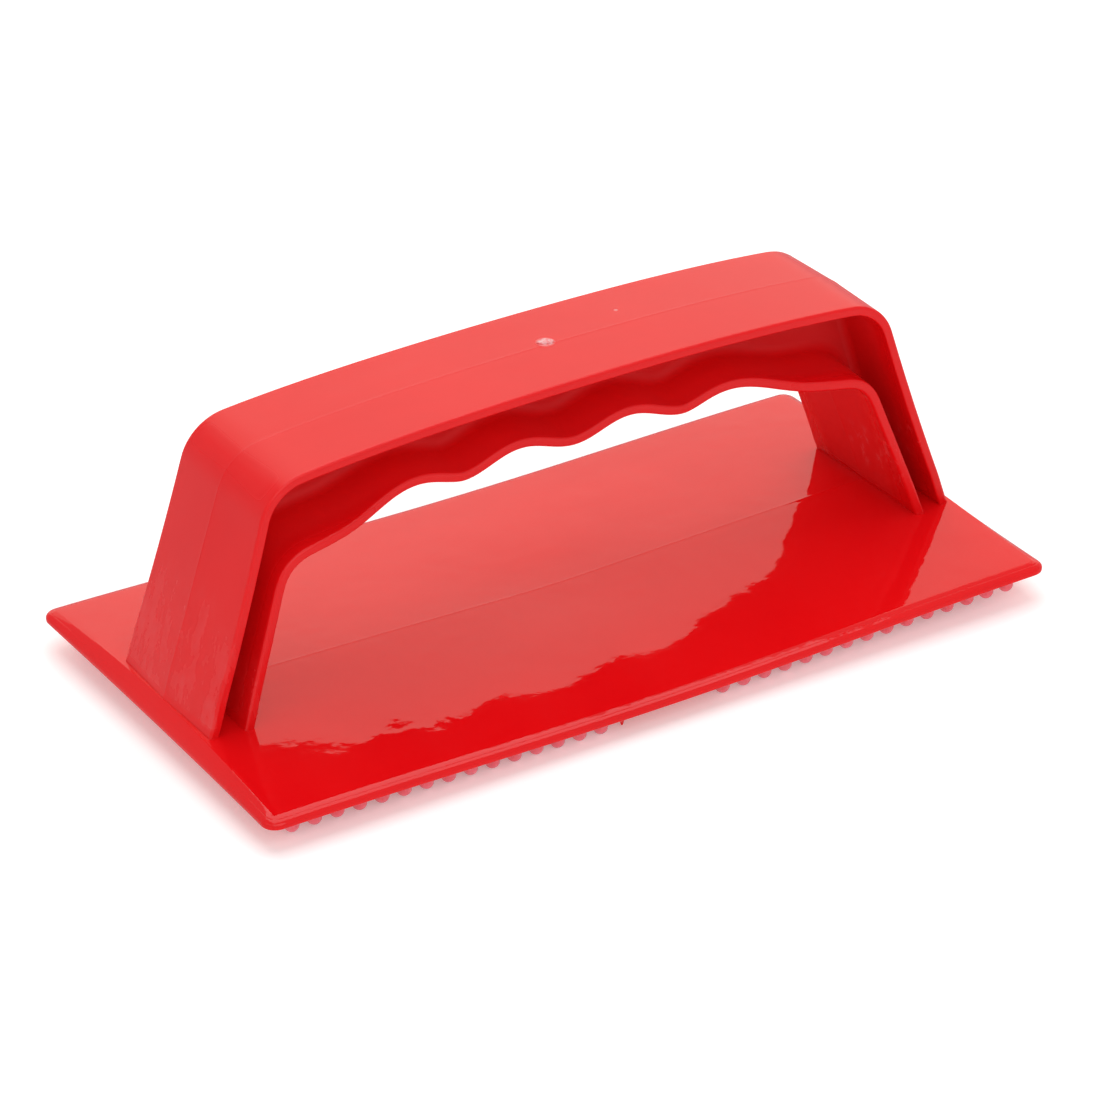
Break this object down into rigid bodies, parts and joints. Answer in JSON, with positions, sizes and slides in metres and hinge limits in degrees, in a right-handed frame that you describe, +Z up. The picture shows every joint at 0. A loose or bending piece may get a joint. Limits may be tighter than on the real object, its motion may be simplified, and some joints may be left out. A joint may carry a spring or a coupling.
{
  "type": "hand pad holder",
  "caption": "Moulded plastic hand pad holder: a bowed plate with an I-section bow handle and finger scallops, and two studded grip mats beneath.",
  "frame": {"origin": "middle of the footprint, on the plane that the lowest stud tips stand on", "axes": "+X along the length of the plate, +Y across it towards its back edge, +Z up through the handle"},
  "size_m": [0.23, 0.1206, 0.0792],
  "materials": {
    "body": "glossy moulded red, faintly wavy",
    "grip_mat": "smooth, slightly translucent rose red",
    "film": "dull pale adhesive"
  },
  "bodies": {
    "root": {"body_moulding": "body", "grip_mat_left": "grip_mat", "grip_mat_right": "grip_mat", "adhesive_film_left": "film", "adhesive_film_right": "film"}
  },
  "joints": []
}
